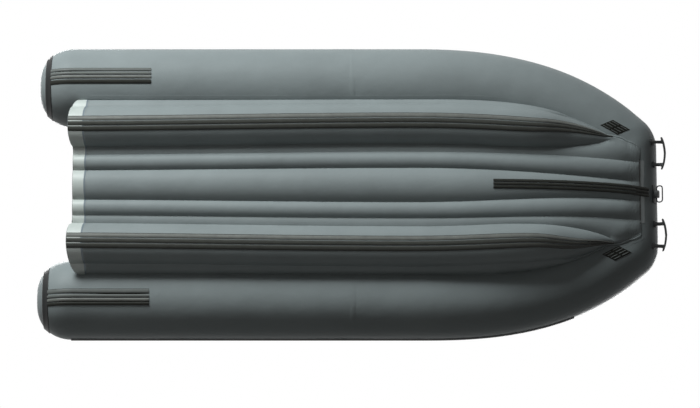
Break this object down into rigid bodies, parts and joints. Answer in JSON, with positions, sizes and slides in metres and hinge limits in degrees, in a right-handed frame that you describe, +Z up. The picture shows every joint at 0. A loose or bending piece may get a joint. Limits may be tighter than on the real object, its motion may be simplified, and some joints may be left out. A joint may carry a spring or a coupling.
{
  "type": "inflatable boat",
  "caption": "Inflatable motor boat with a U-shaped air tube, a ribbed inflatable floor with twin sponson keels, wooden transom, sliding seats and rowlocks.",
  "frame": {"origin": "on the floor under the middle of the overall length and width, handles included", "axes": "+X toward the bow, +Y to port, +Z up from the floor"},
  "size_m": [3.647, 1.7334, 0.7022],
  "materials": {
    "hull_fabric": "satin coated fabric",
    "strake_rubber": "ridged satin rubber",
    "band_fabric": "satin coated fabric",
    "deck_fabric": "fine-grained coated fabric",
    "web_fabric": "matt coated fabric",
    "moulded_rubber": "satin moulded rubber",
    "moulded_plastic": "fine-textured plastic",
    "steel": "brushed stainless steel",
    "marine_wood": "varnished plywood"
  },
  "bodies": {
    "hull": {"baffle_port": "web_fabric", "baffle_starboard": "web_fabric", "bottom_panel_centre": "hull_fabric", "bottom_panel_port": "hull_fabric", "bottom_panel_starboard": "hull_fabric", "bow_handle_port": "moulded_rubber", "bow_handle_starboard": "moulded_rubber", "bow_patch_port": "strake_rubber", "bow_patch_starboard": "strake_rubber", "deck_panel": "deck_fabric", "drain_housing": "moulded_plastic", "floor_stern_band": "band_fabric", "floor_stern_panel": "hull_fabric", "floor_web_port_inner": "web_fabric", "floor_web_port_middle": "web_fabric", "floor_web_port_outer": "web_fabric", "floor_web_starboard_inner": "web_fabric", "floor_web_starboard_middle": "web_fabric", "floor_web_starboard_outer": "web_fabric", "keel_strip": "strake_rubber", "rowlock_base_port": "moulded_plastic", "rowlock_base_starboard": "moulded_plastic", "rub_strake_port": "moulded_rubber", "rub_strake_starboard": "moulded_rubber", "seat_rail_port": "moulded_rubber", "seat_rail_starboard": "moulded_rubber", "skid_strip_port": "strake_rubber", "skid_strip_starboard": "strake_rubber", "sponson_strake_port": "strake_rubber", "sponson_strake_starboard": "strake_rubber", "stern_cap_port": "moulded_rubber", "stern_cap_starboard": "moulded_rubber", "tow_block": "moulded_rubber", "transom_board": "marine_wood", "transom_holder_port": "moulded_rubber", "transom_holder_starboard": "moulded_rubber", "transom_plate_inner": "moulded_plastic", "transom_plate_outer": "moulded_plastic", "tube_bow": "hull_fabric", "tube_port": "hull_fabric", "tube_starboard": "hull_fabric", "valve_body_bow": "moulded_plastic", "valve_body_deck": "moulded_plastic", "valve_body_port": "moulded_plastic", "valve_body_starboard": "moulded_plastic"},
    "tow_ring": {"tow_ring": "moulded_plastic"},
    "seat_front": {"seat_front": "marine_wood"},
    "seat_rear": {"seat_rear": "marine_wood"},
    "rowlock_port": {"rowlock_swivel_port": "steel"},
    "rowlock_starboard": {"rowlock_swivel_starboard": "steel"},
    "drain_plug": {"drain_plug": "moulded_plastic"},
    "valve_cap_port": {"valve_cap_port": "moulded_plastic"},
    "valve_plunger_port": {"valve_plunger_port": "moulded_plastic"},
    "valve_cap_starboard": {"valve_cap_starboard": "moulded_plastic"},
    "valve_plunger_starboard": {"valve_plunger_starboard": "moulded_plastic"},
    "valve_cap_bow": {"valve_cap_bow": "moulded_plastic"},
    "valve_plunger_bow": {"valve_plunger_bow": "moulded_plastic"},
    "valve_cap_deck": {"valve_cap_deck": "moulded_plastic"},
    "valve_plunger_deck": {"valve_plunger_deck": "moulded_plastic"}
  },
  "joints": [
    {"name": "tow_ring_swing", "type": "hinge", "parent": "hull", "child": "tow_ring", "pos_m": [1.76592, 0, 0.36325], "axis": [0, -1, 0], "range_deg": [-80, 80]},
    {"name": "seat_front_slide", "type": "slide", "parent": "hull", "child": "seat_front", "axis": [1, 0, 0], "range_m": [-0.18, 0.18]},
    {"name": "seat_rear_slide", "type": "slide", "parent": "hull", "child": "seat_rear", "axis": [1, 0, 0], "range_m": [-0.18, 0.18]},
    {"name": "rowlock_port_turn", "type": "hinge", "parent": "hull", "child": "rowlock_port", "pos_m": [-0.3035, 0.68777, 0.57001], "axis": [0, 0.254, 0.9672], "range_deg": [-90, 90]},
    {"name": "rowlock_starboard_turn", "type": "hinge", "parent": "hull", "child": "rowlock_starboard", "pos_m": [-0.3035, -0.68777, 0.57001], "axis": [0, -0.254, 0.9672], "range_deg": [-90, 90]},
    {"name": "valve_cap_port_off", "type": "slide", "parent": "hull", "child": "valve_cap_port", "axis": [0, -0.9421, 0.3352], "range_m": [0, 0.03]},
    {"name": "valve_plunger_port_press", "type": "slide", "parent": "hull", "child": "valve_plunger_port", "axis": [0, 0.9421, -0.3352], "range_m": [0, 0.006], "stiffness_N_per_m": 250, "springref_m": -0.003},
    {"name": "valve_cap_starboard_off", "type": "slide", "parent": "hull", "child": "valve_cap_starboard", "axis": [0, 0.9421, 0.3352], "range_m": [0, 0.03]},
    {"name": "valve_plunger_starboard_press", "type": "slide", "parent": "hull", "child": "valve_plunger_starboard", "axis": [0, -0.9421, -0.3352], "range_m": [0, 0.006], "stiffness_N_per_m": 250, "springref_m": -0.003},
    {"name": "valve_cap_bow_off", "type": "slide", "parent": "hull", "child": "valve_cap_bow", "axis": [-0.9158, -0.0002, 0.4016], "range_m": [0, 0.03]},
    {"name": "valve_plunger_bow_press", "type": "slide", "parent": "hull", "child": "valve_plunger_bow", "axis": [0.9158, 0.0002, -0.4016], "range_m": [0, 0.006], "stiffness_N_per_m": 250, "springref_m": -0.003},
    {"name": "valve_cap_deck_off", "type": "slide", "parent": "hull", "child": "valve_cap_deck", "axis": [-0.1549, 0, 0.9879], "range_m": [0, 0.03]},
    {"name": "valve_plunger_deck_press", "type": "slide", "parent": "hull", "child": "valve_plunger_deck", "axis": [0.1549, 0, -0.9879], "range_m": [0, 0.006], "stiffness_N_per_m": 250, "springref_m": -0.003},
    {"name": "drain_plug_pull", "type": "slide", "parent": "hull", "child": "drain_plug", "axis": [1, 0, 0], "range_m": [0, 0.036]}
  ]
}
